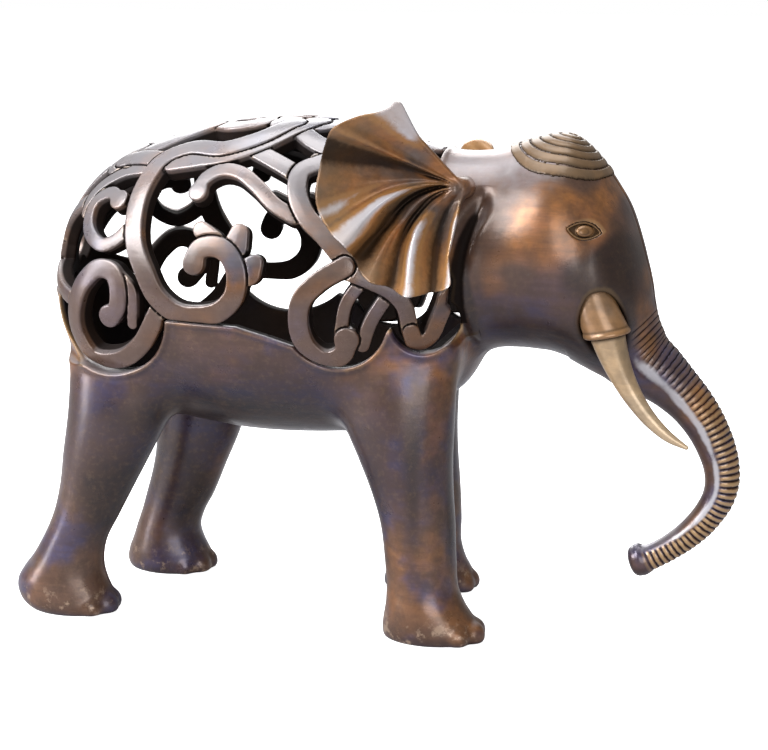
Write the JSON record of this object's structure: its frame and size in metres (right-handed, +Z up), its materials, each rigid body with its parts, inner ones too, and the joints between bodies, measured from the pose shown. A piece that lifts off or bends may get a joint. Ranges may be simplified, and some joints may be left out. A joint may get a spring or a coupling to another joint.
{
  "type": "elephant figurine",
  "caption": "Standing carved elephant figurine with an open scrollwork back, pleated ears, tusks and a curled ridged trunk.",
  "frame": {"origin": "middle of the whole object's outline, on the plane of the soles", "axes": "+X forward towards the trunk, +Y to the elephant's left, +Z up"},
  "size_m": [0.3302, 0.1564, 0.243],
  "materials": {
    "wood_body": "brown lacquer rubbed thin, orange and violet patches, satin",
    "wood_pierced": "brown lacquer with worn pale upper faces, satin",
    "wood_head": "brown lacquer rubbed thin, satin",
    "wood_ear": "brown lacquer with rubbed gold edges, satin",
    "wood_tusk": "light bronze-brown lacquer, satin",
    "wood_collar": "light bronze-brown lacquer, satin",
    "wood_cap": "light bronze-brown lacquer, satin, dark in the steps",
    "wood_eye": "brown lacquer, satin, dark lines",
    "wood_tail": "brown lacquer rubbed thin, satin"
  },
  "bodies": {
    "root": {"body": "wood_body", "pierced_back": "wood_pierced", "head": "wood_head", "right_ear": "wood_ear", "left_ear": "wood_ear", "right_tusk": "wood_tusk", "left_tusk": "wood_tusk", "right_tusk_collar": "wood_collar", "left_tusk_collar": "wood_collar", "crown_cap": "wood_cap", "right_eye": "wood_eye", "left_eye": "wood_eye", "tail": "wood_tail"}
  },
  "joints": []
}
